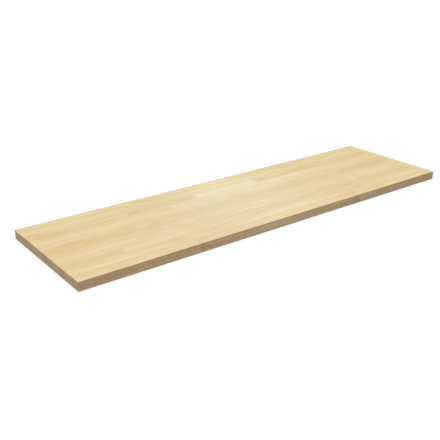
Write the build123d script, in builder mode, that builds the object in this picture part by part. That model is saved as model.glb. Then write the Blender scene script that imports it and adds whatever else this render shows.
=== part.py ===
from build123d import *
import os

# Butcher block countertop: hardwood staves ripped to one width, butted end to end in rows and glued
# face to face into one slab, which is then planed, trimmed square and sanded, with its arrises eased.
# Millimetres. X runs along the staves, Y from the front edge to the back edge, and Z is up.
# The origin is the middle of the underside.

# Driving sizes
panel_length = 2210.0  # trimmed length, 87 in
stave_width = 57.7  # ripped width of every stave, so that eleven rows make a top 25 in deep
panel_thickness = 44.0  # stock sold as 1 3/4 in, after planing and sanding
arris_radius = 1.5  # sanded rounding along every outside edge

# Butt joints in each row, from the back row to the front row, measured along X from the panel's middle
row_joints = [
    [-515, 510],
    [-625, 625],
    [-200, 200],
    [-370, 685],
    [-75, 420],
    [-665, 665],
    [-315, 400],
    [-705, 705],
    [-820, 595],
    [-625, 620],
    [-515, 497],
]

panel_width = len(row_joints) * stave_width
panel_end = panel_length / 2

# Trimmed slab: the countertop's whole outline, with every arris eased
with BuildPart() as slab:
    with BuildSketch():
        Rectangle(panel_length, panel_width)
    extrude(amount=panel_thickness)
    fillet(slab.edges(), arris_radius)

# Staves: one rectangular length of wood each, numbered by row from the back edge and then from the
# left end. Where a stave reaches the outside it takes the slab's trimmed end and eased arris.
os.makedirs("parts", exist_ok=True)
for row, joints in enumerate(row_joints, start=1):
    row_centre = panel_width / 2 - (row - 0.5) * stave_width
    joints_left_by_trim = [joint for joint in joints if abs(joint) < panel_end]
    ends = [-panel_end, *joints_left_by_trim, panel_end]
    for place, (left, right) in enumerate(zip(ends, ends[1:]), start=1):
        with BuildPart() as stave:
            with BuildSketch():
                with Locations(((left + right) / 2, row_centre)):
                    Rectangle(right - left, stave_width)
            extrude(amount=panel_thickness)
            add(slab.part, mode=Mode.INTERSECT)
        stave.part.label = f"row_{row:02d}_stave_{place}"
        export_step(stave.part, f"parts/{stave.part.label}.step")
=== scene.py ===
import math
import random

import bpy
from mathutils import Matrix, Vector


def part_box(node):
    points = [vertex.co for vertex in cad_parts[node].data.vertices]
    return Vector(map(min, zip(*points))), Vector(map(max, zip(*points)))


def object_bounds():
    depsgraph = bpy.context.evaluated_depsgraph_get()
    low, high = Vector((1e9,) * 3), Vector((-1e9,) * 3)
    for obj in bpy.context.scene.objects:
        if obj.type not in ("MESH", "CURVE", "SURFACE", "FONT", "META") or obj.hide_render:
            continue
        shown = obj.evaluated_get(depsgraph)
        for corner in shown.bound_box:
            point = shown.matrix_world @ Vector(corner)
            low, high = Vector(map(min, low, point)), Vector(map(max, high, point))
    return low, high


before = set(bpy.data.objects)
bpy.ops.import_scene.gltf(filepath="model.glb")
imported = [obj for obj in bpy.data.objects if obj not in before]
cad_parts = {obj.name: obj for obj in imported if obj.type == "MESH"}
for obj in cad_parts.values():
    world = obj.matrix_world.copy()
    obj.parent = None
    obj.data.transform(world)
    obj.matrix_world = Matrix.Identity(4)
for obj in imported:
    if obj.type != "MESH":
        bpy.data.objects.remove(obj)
slab_low, slab_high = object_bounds()

# Staves
# Each is one length of solid pale hardwood, planed square and glued to its neighbours on their long
# faces and end to end, with only a hairline of glue between them. The slab was sanded flat after
# gluing, so the same growth rings run on over the top, down the edges and across the end grain.

# Tone of each stave from left to right, from the back row to the front row
stave_tones = [
    "cream straw light",
    "pale light pale",
    "tan white tan",
    "light pale light",
    "light cream cream",
    "brown tan brown",
    "cream light cream",
    "pale cream pale",
    "tan straw straw",
    "light cream pale",
    "cream tan cream",
]
# How far each tone lies from cream, towards the palest wood below nought and the darkest above it
tone_shift = {
    "white": -0.27,
    "pale": -0.12,
    "light": -0.05,
    "cream": 0.0,
    "straw": 0.05,
    "tan": 0.12,
    "brown": 0.18,
}
# How lively the figure is in each row, from the back to the front: row 6 is plain wood
liveliness = [1.2, 1.2, 1.0, 0.9, 0.8, 0.3, 0.7, 1.0, 1.2, 1.1, 1.0]

# Streaks of paler sapwood and of darker mineral stain that show in the top: the row, the middle of
# the streak along the slab and across its own stave, half its length, half its width, and its tone
streaks = [
    (1, -0.98, -0.007, 0.15, 0.010, 0.24),
    (1, -0.76, 0.006, 0.09, 0.012, -0.26),
    (1, -0.62, 0.016, 0.07, 0.012, -0.14),
    (1, -0.42, 0.016, 0.11, 0.012, 0.24),
    (1, -0.49, 0.010, 0.04, 0.012, 0.14),
    (1, -0.47, -0.023, 0.06, 0.007, 0.30),
    (1, -0.25, -0.017, 0.20, 0.011, 0.33),
    (1, 0.03, 0.010, 0.12, 0.014, -0.12),
    (1, 0.26, 0.010, 0.08, 0.010, -0.22),
    (1, 0.45, -0.006, 0.12, 0.045, 0.12),
    (1, 0.57, 0.010, 0.07, 0.012, -0.20),
    (1, 0.75, 0.006, 0.08, 0.013, -0.40),
    (1, 0.42, 0.020, 0.08, 0.008, -0.16),
    (1, 0.95, 0.010, 0.08, 0.010, -0.14),
    (1, 1.02, 0.000, 0.09, 0.012, 0.18),
    (2, -1.08, -0.018, 0.10, 0.020, 0.14),
    (2, -0.95, 0.027, 0.20, 0.006, 0.14),
    (2, -0.92, 0.003, 0.20, 0.015, -0.39),
    (2, -0.77, -0.019, 0.07, 0.006, -0.18),
    (2, -0.76, 0.024, 0.11, 0.007, 0.24),
    (2, -0.71, -0.022, 0.10, 0.006, 0.16),
    (2, -0.65, -0.008, 0.05, 0.012, 0.22),
    (2, -0.60, -0.011, 0.05, 0.012, 0.32),
    (2, -0.48, 0.012, 0.08, 0.008, -0.22),
    (2, -0.45, -0.002, 0.06, 0.008, 0.16),
    (2, -0.35, -0.024, 0.09, 0.007, 0.24),
    (2, -0.35, 0.016, 0.10, 0.009, -0.18),
    (2, -0.14, 0.015, 0.25, 0.013, -0.28),
    (2, 0.03, 0.004, 0.13, 0.016, -0.12),
    (2, 0.17, -0.017, 0.08, 0.008, 0.22),
    (2, 0.35, -0.021, 0.14, 0.009, 0.34),
    (2, 0.51, 0.000, 0.16, 0.026, 0.18),
    (2, 0.59, -0.014, 0.05, 0.010, 0.42),
    (2, 0.69, -0.004, 0.07, 0.012, 0.20),
    (2, 0.90, -0.016, 0.07, 0.006, 0.22),
    (2, 0.95, 0.009, 0.17, 0.010, -0.46),
    (2, 1.02, -0.016, 0.08, 0.007, 0.34),
    (3, -1.04, -0.008, 0.14, 0.024, 0.18),
    (3, -0.95, 0.018, 0.14, 0.008, -0.28),
    (3, -0.98, 0.002, 0.12, 0.007, 0.20),
    (3, -0.74, 0.016, 0.12, 0.013, -0.19),
    (3, -0.63, 0.021, 0.08, 0.007, -0.16),
    (3, -0.565, -0.001, 0.055, 0.010, 0.55),
    (3, -0.47, 0.003, 0.11, 0.010, 0.26),
    (3, -0.37, -0.020, 0.10, 0.009, 0.24),
    (3, -0.25, 0.023, 0.06, 0.008, -0.28),
    (3, -0.245, -0.002, 0.055, 0.011, 0.40),
    (3, 0.25, 0.003, 0.06, 0.010, 0.32),
    (3, 0.37, 0.010, 0.08, 0.009, -0.18),
    (3, 0.39, -0.016, 0.12, 0.009, 0.28),
    (3, 0.53, 0.006, 0.08, 0.012, 0.20),
    (3, 0.58, -0.002, 0.05, 0.010, 0.24),
    (3, 0.62, 0.007, 0.06, 0.018, -0.18),
    (3, 0.83, -0.008, 0.08, 0.009, 0.20),
    (3, 0.92, 0.018, 0.15, 0.008, -0.26),
    (3, 1.05, -0.006, 0.11, 0.016, 0.32),
    (4, -1.01, 0.010, 0.18, 0.009, 0.34),
    (4, -0.95, -0.006, 0.10, 0.008, -0.12),
    (4, -0.78, -0.024, 0.30, 0.018, -0.23),
    (4, -0.65, -0.004, 0.06, 0.008, -0.18),
    (4, -0.44, -0.001, 0.10, 0.016, 0.16),
    (4, -0.78, 0.016, 0.13, 0.007, 0.24),
    (4, -0.25, 0.020, 0.09, 0.006, 0.12),
    (4, -0.29, -0.025, 0.09, 0.007, -0.19),
    (4, -0.14, 0.000, 0.24, 0.010, 0.20),
    (4, 0.08, -0.004, 0.14, 0.012, 0.14),
    (4, 0.165, -0.008, 0.05, 0.008, 0.34),
    (4, 0.34, 0.012, 0.28, 0.018, -0.22),
    (4, 0.61, -0.019, 0.14, 0.011, -0.29),
    (4, 0.34, -0.020, 0.11, 0.008, -0.20),
    (4, 0.62, -0.002, 0.06, 0.009, -0.20),
    (4, 0.77, -0.022, 0.14, 0.009, -0.28),
    (4, 0.97, 0.001, 0.08, 0.011, -0.20),
    (5, -1.08, -0.010, 0.05, 0.008, 0.14),
    (5, -0.98, -0.024, 0.12, 0.010, 0.24),
    (5, -0.52, 0.026, 0.36, 0.020, -0.18),
    (5, -0.59, 0.013, 0.08, 0.008, 0.30),
    (5, -0.55, -0.030, 0.60, 0.012, 0.16),
    (5, -0.28, 0.016, 0.12, 0.010, -0.12),
    (5, -0.24, -0.012, 0.17, 0.010, 0.22),
    (5, -0.04, -0.008, 0.07, 0.016, 0.36),
    (5, 0.08, -0.012, 0.10, 0.010, 0.24),
    (5, 0.25, 0.010, 0.10, 0.009, -0.16),
    (5, 0.33, 0.026, 0.34, 0.020, -0.39),
    (5, 0.18, -0.030, 0.45, 0.012, 0.12),
    (5, 0.47, 0.024, 0.06, 0.008, -0.16),
    (5, 0.55, -0.020, 0.08, 0.008, 0.14),
    (5, 0.65, 0.013, 0.12, 0.009, 0.24),
    (5, 0.78, 0.000, 0.22, 0.010, -0.12),
    (5, 0.86, 0.014, 0.10, 0.009, -0.18),
    (5, 0.95, -0.024, 0.16, 0.013, 0.40),
    (6, -1.05, 0.0, 0.10, 0.045, 0.06),
    (6, -0.91, 0.024, 0.08, 0.007, 0.14),
    (6, -0.88, -0.002, 0.06, 0.008, 0.16),
    (6, -0.62, 0.009, 0.06, 0.013, -0.38),
    (6, -0.63, -0.014, 0.04, 0.010, -0.30),
    (6, -0.54, -0.003, 0.03, 0.009, 0.22),
    (6, -0.49, 0.000, 0.05, 0.020, -0.12),
    (6, -0.02, 0.0, 0.18, 0.040, 0.06),
    (6, 0.45, 0.000, 0.03, 0.009, 0.14),
    (6, 0.49, 0.004, 0.05, 0.020, -0.12),
    (6, 0.54, 0.000, 0.04, 0.009, 0.24),
    (6, 0.62, -0.004, 0.05, 0.018, -0.26),
    (6, 0.93, 0.004, 0.12, 0.030, 0.06),
    (7, -0.97, 0.018, 0.12, 0.010, 0.30),
    (7, -0.92, -0.014, 0.16, 0.014, -0.16),
    (7, -0.53, -0.022, 0.06, 0.007, -0.20),
    (7, -0.50, 0.029, 0.60, 0.012, 0.14),
    (7, -0.38, -0.020, 0.12, 0.012, -0.36),
    (7, -0.26, 0.008, 0.07, 0.014, 0.14),
    (7, -0.24, -0.017, 0.12, 0.009, -0.24),
    (7, -0.08, -0.016, 0.11, 0.012, 0.32),
    (7, 0.01, 0.029, 0.36, 0.012, 0.34),
    (7, 0.26, -0.020, 0.18, 0.010, -0.30),
    (7, 0.75, 0.025, 0.40, 0.013, 0.19),
    (7, 0.57, -0.008, 0.06, 0.012, 0.12),
    (7, 0.84, -0.016, 0.18, 0.016, -0.14),
    (8, -0.88, 0.014, 0.18, 0.020, -0.14),
    (8, -0.76, -0.018, 0.05, 0.007, 0.34),
    (8, -0.67, 0.017, 0.05, 0.007, -0.20),
    (8, -0.66, -0.018, 0.05, 0.007, -0.20),
    (8, -0.56, 0.014, 0.08, 0.016, -0.20),
    (8, -0.55, -0.020, 0.16, 0.012, -0.16),
    (8, -0.47, 0.000, 0.06, 0.012, 0.16),
    (8, -0.40, -0.004, 0.05, 0.014, -0.16),
    (8, -0.30, -0.007, 0.05, 0.007, 0.24),
    (8, -0.28, -0.022, 0.16, 0.007, -0.26),
    (8, -0.15, 0.023, 0.22, 0.009, 0.30),
    (8, -0.21, 0.002, 0.09, 0.009, 0.20),
    (8, -0.06, 0.000, 0.08, 0.008, 0.12),
    (8, -0.02, -0.016, 0.28, 0.010, -0.28),
    (8, 0.29, -0.018, 0.14, 0.009, -0.32),
    (8, 0.30, -0.003, 0.06, 0.008, 0.22),
    (8, 0.42, 0.000, 0.07, 0.008, 0.18),
    (8, 0.52, 0.013, 0.09, 0.009, -0.22),
    (8, 0.65, 0.012, 0.08, 0.019, -0.38),
    (8, 0.65, -0.014, 0.07, 0.010, -0.30),
    (8, 0.745, -0.013, 0.05, 0.010, 0.34),
    (8, 0.88, 0.014, 0.16, 0.022, -0.10),
    (9, -1.02, -0.001, 0.10, 0.010, 0.44),
    (9, -0.98, 0.021, 0.14, 0.006, -0.20),
    (9, -0.88, 0.005, 0.12, 0.008, 0.40),
    (9, -0.64, 0.002, 0.30, 0.030, -0.37),
    (9, -0.25, -0.003, 0.16, 0.008, -0.30),
    (9, -0.05, 0.019, 0.20, 0.008, 0.28),
    (9, -0.08, -0.012, 0.06, 0.008, 0.20),
    (9, 0.06, -0.006, 0.07, 0.011, 0.16),
    (9, 0.235, -0.007, 0.08, 0.010, 0.42),
    (9, 0.34, 0.014, 0.32, 0.009, 0.32),
    (9, 0.43, -0.021, 0.15, 0.009, 0.32),
    (9, 0.44, 0.001, 0.08, 0.006, -0.24),
    (9, 0.555, 0.001, 0.09, 0.011, 0.40),
    (9, 0.68, -0.012, 0.08, 0.009, -0.24),
    (9, 0.77, 0.006, 0.13, 0.008, 0.26),
    (9, 0.88, -0.004, 0.09, 0.009, 0.18),
    (9, 1.02, 0.004, 0.10, 0.014, 0.18),
    (10, -1.01, 0.020, 0.07, 0.008, 0.32),
    (10, -0.93, -0.012, 0.20, 0.010, -0.40),
    (10, -0.90, 0.009, 0.12, 0.008, -0.24),
    (10, -0.75, 0.026, 0.15, 0.009, 0.42),
    (10, -0.74, 0.003, 0.12, 0.009, 0.27),
    (10, -0.68, -0.013, 0.06, 0.008, -0.20),
    (10, -0.56, -0.015, 0.08, 0.008, 0.24),
    (10, -0.57, 0.014, 0.07, 0.014, 0.26),
    (10, -0.44, 0.015, 0.07, 0.007, 0.16),
    (10, -0.38, 0.014, 0.11, 0.011, 0.20),
    (10, -0.21, -0.016, 0.10, 0.009, -0.22),
    (10, 0.04, -0.008, 0.24, 0.018, -0.27),
    (10, 0.36, 0.025, 0.10, 0.007, 0.26),
    (10, 0.24, -0.022, 0.09, 0.006, -0.20),
    (10, 0.39, 0.012, 0.06, 0.009, 0.18),
    (10, 0.59, 0.018, 0.05, 0.008, 0.20),
    (10, 0.79, 0.014, 0.06, 0.006, -0.16),
    (10, 0.80, 0.001, 0.05, 0.006, 0.20),
    (10, 1.01, 0.023, 0.06, 0.006, 0.24),
    (10, 0.91, -0.008, 0.18, 0.012, -0.34),
    (10, 1.03, -0.021, 0.08, 0.007, 0.34),
    (11, -1.00, 0.022, 0.12, 0.008, -0.26),
    (11, -0.77, -0.011, 0.11, 0.010, -0.36),
    (11, -0.69, 0.018, 0.14, 0.012, 0.22),
    (11, -0.48, 0.018, 0.06, 0.010, 0.30),
    (11, -0.43, -0.004, 0.06, 0.011, -0.24),
    (11, 0.09, 0.021, 0.09, 0.008, -0.18),
    (11, 0.28, 0.003, 0.12, 0.011, -0.22),
    (11, 0.43, -0.002, 0.05, 0.011, -0.38),
    (11, 0.465, 0.016, 0.05, 0.010, 0.24),
    (11, 0.60, 0.018, 0.06, 0.006, -0.16),
    (11, 0.765, -0.010, 0.07, 0.010, -0.40),
]
# Streaks that show in the front edge: the middle of the streak along the slab and above the
# underside, half its length, half its height, and its tone
edge_streaks = [
    (-1.03, 0.032, 0.07, 0.006, 0.16),
    (-0.98, 0.014, 0.14, 0.005, 0.22),
    (-0.82, 0.034, 0.12, 0.009, -0.36),
    (-0.72, 0.017, 0.10, 0.007, 0.20),
    (-0.42, 0.012, 0.10, 0.006, 0.20),
    (-0.37, 0.025, 0.08, 0.008, -0.18),
    (-0.10, 0.018, 0.15, 0.018, -0.20),
    (0.03, 0.036, 0.07, 0.007, 0.18),
    (0.16, 0.010, 0.10, 0.006, 0.16),
    (0.34, 0.016, 0.10, 0.010, 0.24),
    (0.56, 0.032, 0.07, 0.012, -0.14),
    (0.68, 0.018, 0.07, 0.010, 0.18),
    (0.79, 0.034, 0.10, 0.010, -0.28),
    (0.96, 0.025, 0.12, 0.010, 0.22),
    (1.00, 0.008, 0.08, 0.007, -0.20),
]
# Brown glue stains that soaked into the front edge beside both end joints, and a darker strip at the
# right-hand end of the front edge: the middle of each patch along the slab and half its length
front_dark_patches = [(-0.512, 0.030), (0.488, 0.055), (1.104, 0.014)]

# A size of two numbers is a length along the grain and a width across it, in metres. A tone says how
# far something darkens the wood, where 1 is the whole way from the palest wood to the darkest.

# Growth rings
ring_widths = (0.0022, 0.0042)  # yearly growth, from slow-grown to fast-grown boards
pith_distances = (0.035, 0.13)  # from a stave's middle to the heart of its log
grain_lean = 0.012  # how far the grain runs off along a stave, for each metre of length
grain_wander = 0.016  # sideways waver of the rings
wander_size = (0.7, 0.09)
# How dark the wood is through one year's growth: the place in the ring and the shade there
ring_shades = [(0.0, 0.3), (0.12, 0.0), (0.55, 0.12), (0.9, 1.0), (1.0, 0.3)]
ring_middle_shade = 0.25
ring_tone = 0.3
faintest_ring = 0.35
year_change = 0.31  # how fast good and bad years for growth follow each other, for each ring
year_swing = 1.5  # how far, in rings, good and bad years shift a ring from its even place

# Bands, wisps, lines and fibres
band_width = 0.011
band_tone = 0.8
wisp_size = (0.45, 0.014)
wisp_tone = 0.8
line_size = (0.35, 0.005)
line_tone = 1.2
fibre_size = (0.03, 0.0007)
fibre_tone = 0.6
speck_size = (0.018, 0.004)
speck_tone = 1.4
side_gain = 0.55  # how much more strongly the upright sides show their figure
noise_reach = 50  # each stave reads its noise from a place of its own, at most this far off

# Streaks: the rim and the core are shares of a streak's half size
streak_depth = 0.030  # how far a streak reaches down into the wood
streak_drift = 0.014  # sideways drift of a streak along its length
drift_size = (0.3, 0.05)
streak_rim = 1.15
streak_core = 0.2
fray_size = (0.2, 0.004)
fray_least = 0.4
fray_gain = 1.2
streak_loss_on_end = 0.7

# Tone of the end grain, and clouds of rosier and of more straw-coloured wood
darkest_end_shift = 0.12
end_shift_gain = 1.3
end_darkening = 0.55
blush_size = (0.3, 0.028)
blush_strength = 0.45
blush_loss_on_end = 0.25
rosy_level = 0.75
straw_level = 0.25

# Dark patches on the front edge, pores, rays and glue
dark_patch_strength = 0.42
dark_patch_core = 0.3  # share of a patch's half length
dark_patch_full_depth = 0.001
dark_patch_last_depth = 0.004
pore_size = (0.004, 0.00022)
pore_levels = (0.68, 0.76)  # the noise where a pore begins, and where it is full
pore_strength = 0.35
ray_count = 260.0  # for each radian round the heart
# How far the pale cut wood covers an end: more on one ray than on the next, and less on late wood
end_wood_share = 0.65
ray_share = 0.9
ring_share = 0.5
glue_width = 0.00025
glue_strength = 0.6

# Touch of the sanded wood
relief_depth = 0.0001
relief_strength = 0.35
fibre_relief = 0.5
ring_relief = 0.2
pore_relief = 0.8
sanded_roughness = 0.5
fibre_roughness = 0.2
end_roughness = 0.15

# How squarely a face must look along an axis to begin to count as an end or a top, and to count fully
facing_start = 0.5
facing_full = 0.9


def painted(red, green, blue):
    """A colour given as it shows on a screen, from 0 to 255, as the linear values that shaders use."""
    shares = [value / 255 for value in (red, green, blue)]
    return (*[s / 12.92 if s <= 0.04045 else ((s + 0.055) / 1.055) ** 2.4 for s in shares], 1.0)


palest_wood = painted(241, 224, 182)
cream_wood = painted(232, 208, 156)
darkest_wood = painted(219, 188, 126)
palest_edge = painted(245, 223, 171)
darkest_edge = painted(214, 188, 136)
rosy_wood = painted(232, 204, 155)
straw_wood = painted(227, 208, 149)
end_grain_wood = painted(243, 228, 182)
dark_patch_brown = painted(198, 174, 126)
pore_brown = painted(168, 128, 80)
glue_amber = painted(186, 150, 98)
cream_place = 0.5  # where cream lies between the palest wood and the darkest


class Wire:
    """One output of a node in a material. Sums on wires add Math nodes."""

    def __init__(self, tree, socket=None):
        self.tree = tree
        self.socket = socket

    def node(self, kind, settings=None, sockets=None, output=0):
        """Adds a node: its settings first, then a value or a wire for each of the sockets named. The
        stops of a colour ramp are pairs of a position and a colour."""
        made = self.tree.nodes.new(kind)
        for name, value in (settings or {}).items():
            if name == "stops":
                stops = made.color_ramp.elements
                ready = len(stops)
                for number, (position, colour) in enumerate(value):
                    stop = stops[number] if number < ready else stops.new(position)
                    stop.position = position
                    stop.color = colour
            else:
                setattr(made, name, value)
        for name, value in (sockets or {}).items():
            if isinstance(value, Wire):
                self.tree.links.new(value.socket, made.inputs[name])
            else:
                made.inputs[name].default_value = value
        return Wire(self.tree, made.outputs[output] if made.outputs else None)

    def math(self, operation, *values):
        return self.node("ShaderNodeMath", {"operation": operation}, dict(enumerate(values)))

    def vector(self, operation, *values):
        return self.node("ShaderNodeVectorMath", {"operation": operation}, dict(enumerate(values)))

    def spread(self, *limits):
        """This value, run from one pair of limits to another pair, or else to 0 and 1."""
        return self.node("ShaderNodeMapRange", None, dict(enumerate((self, *limits))))

    def __add__(self, other):
        return self.math("ADD", self, other)

    def __sub__(self, other):
        return self.math("SUBTRACT", self, other)

    def __mul__(self, other):
        return self.math("MULTIPLY", self, other)

    def __truediv__(self, other):
        return self.math("DIVIDE", self, other)

    def __rsub__(self, other):
        return self.math("SUBTRACT", other, self)

    __radd__ = __add__
    __rmul__ = __mul__


def streak_tone(place, middle, own_streaks, fleck):
    """Tone of a stave's streaks. Each is a long lens that drifts with the grain and frays into lines."""
    drift = place.node("ShaderNodeCombineXYZ", None, {1: (fleck(*drift_size) - 0.5) * streak_drift})
    drifted = place.vector("ADD", place, drift)
    tone = place.node("ShaderNodeValue")
    tone.socket.default_value = 0.0
    for centre, half_size, strength in own_streaks:
        scale = [1 / half for half in half_size]
        offset = [(m - c) * s for m, c, s in zip(middle, centre, scale)]
        reach = place.vector("MULTIPLY_ADD", drifted, scale, offset)
        radius = place.node("ShaderNodeVectorMath", {"operation": "LENGTH"}, {0: reach}, 1)
        tone = tone + radius.spread(streak_rim, streak_core, 0.0, strength)
    return tone * (fray_least + fleck(*fray_size) * fray_gain)


def distance_to_glue(along, across, low, high):
    """Distance to the nearest face of a stave that another stave was glued to."""
    half_length = (high.x - low.x) / 2
    half_width = (high.y - low.y) / 2
    distances = []
    if low.x > slab_low.x + glue_width:
        distances.append(along + half_length)
    if high.x < slab_high.x - glue_width:
        distances.append(half_length - along)
    if low.y > slab_low.y + glue_width:
        distances.append(across + half_width)
    if high.y < slab_high.y - glue_width:
        distances.append(half_width - across)
    nearest = distances[0]
    for distance in distances[1:]:
        nearest = nearest.math("MINIMUM", nearest, distance)
    return nearest


def hardwood(name, shift, lively, low, high, own_streaks, own_dark_patches, chance):
    """Solid wood cut from its own log: rings round a pith, fibres, pores and rays, and its glue lines."""
    material = bpy.data.materials.new(name)
    material.use_nodes = True
    material.node_tree.nodes.clear()
    blank = Wire(material.node_tree)
    middle = (low + high) / 2

    def part(vector, axis):
        return blank.node("ShaderNodeSeparateXYZ", None, {0: vector}, axis)

    def ramp(value, stops):
        return blank.node("ShaderNodeValToRGB", {"stops": stops}, {0: value})

    def laid_over(under, over, share):
        return blank.node("ShaderNodeMix", {"data_type": "RGBA"}, {0: share, 6: under, 7: over}, 2)

    def noise_along(value, detail=2.0):
        """Noise from 0 to 1 that changes with one value."""
        sockets = {"W": value, "Scale": 1.0, "Detail": detail}
        return blank.node("ShaderNodeTexNoise", {"noise_dimensions": "1D"}, sockets)

    def fleck(length, width, detail=2.0):
        """Noise from 0 to 1 in streaks of this length along the grain and this width across it."""
        offset = [chance.uniform(-noise_reach, noise_reach) for _ in range(3)]
        stretched = blank.vector("MULTIPLY_ADD", place, (1 / length, 1 / width, 1 / width), offset)
        return blank.node("ShaderNodeTexNoise", None, {"Vector": stretched, "Scale": 1.0, "Detail": detail})

    def swing(noise, amount):
        """Noise about its middle, so that it lightens as much as it darkens."""
        return (noise - 0.5) * amount

    place = blank.node("ShaderNodeTexCoord", output="Object")
    place = blank.vector("SUBTRACT", place, middle)
    along = part(place, "X")
    across = part(place, "Y")
    up = part(place, "Z")

    # The sawn ends and the upright sides show their figure more strongly than the top
    face = blank.node("ShaderNodeTexCoord", output="Normal")
    end = blank.math("ABSOLUTE", part(face, "X")).spread(facing_start, facing_full)
    side = blank.math("ABSOLUTE", part(face, "Z")).spread(facing_full, facing_start)

    # The heart of the log lies beside the stave, on a line nearly along it
    angle = chance.uniform(0, 2 * math.pi)
    distance = chance.uniform(*pith_distances)
    lean = [chance.uniform(-grain_lean, grain_lean) for _ in range(2)]
    off_y = across - distance * math.cos(angle) - along * lean[0] + swing(fleck(*wander_size), grain_wander)
    off_z = up - distance * math.sin(angle) - along * lean[1] + swing(fleck(*wander_size), grain_wander)
    from_pith = blank.math("SQRT", off_y * off_y + off_z * off_z)
    rings = from_pith / chance.uniform(*ring_widths)
    uneven = noise_along(rings * year_change, 1.0)
    year = blank.math("FRACT", rings + uneven * year_swing)
    late_wood = ramp(year, [(position, (grey, grey, grey, 1)) for position, grey in ring_shades])
    late_wood = late_wood * (faintest_ring + uneven)

    # Bands that follow the rings, wisps and thin lines along the grain, and single fibres
    band = noise_along(from_pith / band_width)
    wisp = fleck(*wisp_size)
    line = fleck(*line_size)
    fibre = fleck(*fibre_size)
    figure = swing(band, band_tone) + swing(wisp, wisp_tone)
    figure = figure + swing(line, line_tone) + swing(fibre, fibre_tone)
    figure = (figure + (late_wood - ring_middle_shade) * ring_tone) * lively
    streaked = streak_tone(place, middle, own_streaks, fleck) * (1 - end * streak_loss_on_end)
    speck = swing(fleck(*speck_size), side) * (1 - end)

    # Wood of this stave's own tone, with a wider range of colour on the sides
    end_shift = min(shift, darkest_end_shift)
    toned = shift + end * (end_shift * end_shift_gain - shift)
    shade = figure * (1 + side * side_gain) + speck * speck_tone + streaked + toned + cream_place
    wood = ramp(shade, [(0.0, palest_wood), (1.0, darkest_wood), (cream_place, cream_wood)])
    edge_wood = ramp(shade, [(0.0, palest_edge), (1.0, darkest_edge), (cream_place, cream_wood)])
    wood = laid_over(wood, edge_wood, side)
    blush = fleck(*blush_size)
    tinge = blush_strength - end * blush_loss_on_end
    wood = laid_over(wood, rosy_wood, blush.spread(0.5, rosy_level) * tinge)
    wood = laid_over(wood, straw_wood, blush.spread(0.5, straw_level) * tinge)

    # Glue stains beside the joints, and the darker strip at the right-hand end, reach a little way in from
    # the front edge
    front_edge = low.y - middle.y
    for where, half_length in own_dark_patches:
        reach = blank.math("ABSOLUTE", along + (middle.x - where)) / half_length
        depth = across.spread(front_edge + dark_patch_last_depth, front_edge + dark_patch_full_depth)
        wood = laid_over(wood, dark_patch_brown, reach.spread(1.0, dark_patch_core) * depth * dark_patch_strength)

    # Pores are short on a long face and dots on an end
    pore = fleck(*pore_size, 0.0).spread(*pore_levels)
    wood = laid_over(wood, pore_brown, pore * pore_strength)

    # Rays fan out from the heart across the end grain
    turn = blank.math("ARCTAN2", off_z, off_y)
    ray = noise_along(turn * ray_count, 1.0)
    cut_wood = [channel * (1 - end_shift * end_darkening) for channel in end_grain_wood]
    cut_share = end_wood_share + swing(ray, ray_share) - late_wood * ring_share
    wood = laid_over(wood, cut_wood, end * cut_share)

    # Glue shows as a hairline, only where another stave was glued on
    hairline = distance_to_glue(along, across, low, high).spread(glue_width, 0.0)
    wood = laid_over(wood, glue_amber, hairline * glue_strength)

    # Sanded and left bare: matt, with the fibres and pores just to be felt
    relief = fibre * fibre_relief + late_wood * ring_relief - pore * pore_relief
    felt = {"Strength": relief_strength, "Distance": relief_depth, "Height": relief}
    bump = blank.node("ShaderNodeBump", None, felt)
    roughness = sanded_roughness + swing(fibre, fibre_roughness) + end * end_roughness
    looks = {"Base Color": wood, "Roughness": roughness, "Normal": bump}
    surface = blank.node("ShaderNodeBsdfPrincipled", None, looks)
    blank.node("ShaderNodeOutputMaterial", None, {"Surface": surface})
    return material


for row, tones in enumerate(stave_tones, start=1):
    for number, tone in enumerate(tones.split(), start=1):
        name = f"row_{row:02d}_stave_{number}"
        low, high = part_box(name)
        own_streaks = [
            ((along, (low.y + high.y) / 2 + aside, high.z), (half_length, half_width, streak_depth), strength)
            for streak_row, along, aside, half_length, half_width, strength in streaks
            if streak_row == row and low.x < along < high.x
        ]
        own_dark_patches = []
        if row == len(stave_tones):
            own_streaks += [
                ((along, low.y, height), (half_length, streak_depth, half_height), strength)
                for along, height, half_length, half_height, strength in edge_streaks
                if low.x < along < high.x
            ]
            own_dark_patches = [dark_patch for dark_patch in front_dark_patches if low.x < dark_patch[0] < high.x]
        wood = hardwood(
            f"hardwood_{row:02d}_{number}",
            tone_shift[tone],
            liveliness[row - 1],
            low,
            high,
            own_streaks,
            own_dark_patches,
            random.Random(100 * row + number),
        )
        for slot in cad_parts[name].material_slots:
            slot.material = wood

# Floor
# A smooth pale floor that fades to plain white. It throws back little light on the slab's sides and
# keeps a faint shadow where the slab lies on it.
floor_reach = 60.0  # half its width
floor_drop = 0.0005  # below the underside, so that the two faces don't coincide
floor_glow = 0.79  # brings the floor up to white
floor_shown = 0.215  # paint that takes the shadow
floor_bounce = (0.262, 0.163, 0.204, 1.0)  # how much of each colour it throws back on the slab

floor_mesh = bpy.data.meshes.new("floor")
sides = [(-1, -1), (1, -1), (1, 1), (-1, 1)]
corners = [(x * floor_reach, y * floor_reach, -floor_drop) for x, y in sides]
floor_mesh.from_pydata(corners, [], [(0, 1, 2, 3)])
floor = bpy.data.objects.new("floor", floor_mesh)
bpy.context.scene.collection.objects.link(floor)

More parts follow.
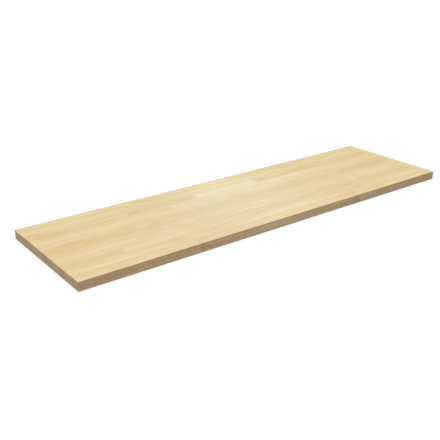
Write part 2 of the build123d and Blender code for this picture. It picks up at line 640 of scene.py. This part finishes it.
floor_paint = bpy.data.materials.new("floor_paint")
floor_paint.use_nodes = True
floor_paint.node_tree.nodes.clear()
blank = Wire(floor_paint.node_tree)
seen = blank.node("ShaderNodeLightPath", output="Is Camera Ray")
glow = blank.node("ShaderNodeEmission", None, {"Color": (1, 1, 1, 1), "Strength": floor_glow})
shown = blank.node("ShaderNodeBsdfDiffuse", None, {"Color": (floor_shown, floor_shown, floor_shown, 1)})
shown = blank.node("ShaderNodeAddShader", None, {0: glow, 1: shown})
bounce = blank.node("ShaderNodeBsdfDiffuse", None, {"Color": floor_bounce})
mixed = blank.node("ShaderNodeMixShader", None, {0: seen, 1: bounce, 2: shown})
blank.node("ShaderNodeOutputMaterial", None, {"Surface": mixed})
floor_mesh.materials.append(floor_paint)

# Studio light
# A wide soft light straight overhead and a dim even surround. A cool strip light over the slab's
# middle leaves a gentle bright zone there, and a small light before the front edge lifts its middle.
surround = 0.465
overhead = 0.56
overhead_spread = 60  # degrees
strip_place = (0.03, 0, 0.40)
strip_size = (0.25, 2.4)
strip_power = 1.85
strip_colour = (0.2, 0.49, 0.92)
front_place = (0, -0.95, 0.10)
front_size = (0.5, 0.15)
front_power = 0.16
front_tilt = 90  # degrees, from looking down to looking straight back

world = bpy.data.worlds.new("studio")
world.use_nodes = True
world.node_tree.nodes.clear()
blank = Wire(world.node_tree)
seen = blank.node("ShaderNodeLightPath", output="Is Camera Ray")
strength = surround + seen * (1 - surround)
air = blank.node("ShaderNodeBackground", None, {"Color": (1, 1, 1, 1), "Strength": strength})
blank.node("ShaderNodeOutputWorld", None, {"Surface": air})
bpy.context.scene.world = world

sky_light = bpy.data.lights.new("overhead_light", "SUN")
sky_light.energy = overhead * math.pi
sky_light.angle = math.radians(overhead_spread)
bpy.context.scene.collection.objects.link(bpy.data.objects.new("overhead_light", sky_light))


def soft_light(name, place, size, power, colour=(1, 1, 1), tilt=0):
    """A lit panel that the camera doesn't see. It looks down, or is tilted up from that in degrees."""
    light = bpy.data.lights.new(name, "AREA")
    light.shape = "RECTANGLE"
    light.size, light.size_y = size
    light.energy = power
    light.color = colour
    panel = bpy.data.objects.new(name, light)
    panel.location = place
    panel.rotation_euler = (math.radians(tilt), 0, 0)
    panel.visible_camera = False
    bpy.context.scene.collection.objects.link(panel)


soft_light("strip_light", strip_place, strip_size, strip_power, colour=strip_colour)
soft_light("front_light", front_place, front_size, front_power, tilt=front_tilt)

# Camera
# It stands left of and before the slab, above it, and looks down along it, as in the photograph.
camera_place = (-2.0989, -2.5426, 1.3007)
camera_turn = -37.168  # degrees, from looking straight back to looking right
camera_drop = 22.749  # degrees below the horizon
camera_lens = 56.43  # millimetres
camera_sensor = 36.0  # millimetres

camera_data = bpy.data.cameras.new("camera")
camera_data.sensor_width = camera_sensor
camera_data.lens = camera_lens
camera = bpy.data.objects.new("camera", camera_data)
camera.location = camera_place
camera.rotation_euler = (math.radians(90 - camera_drop), 0, math.radians(camera_turn))
bpy.context.scene.collection.objects.link(camera)
bpy.context.scene.camera = camera
bpy.context.scene.view_settings.view_transform = "Standard"
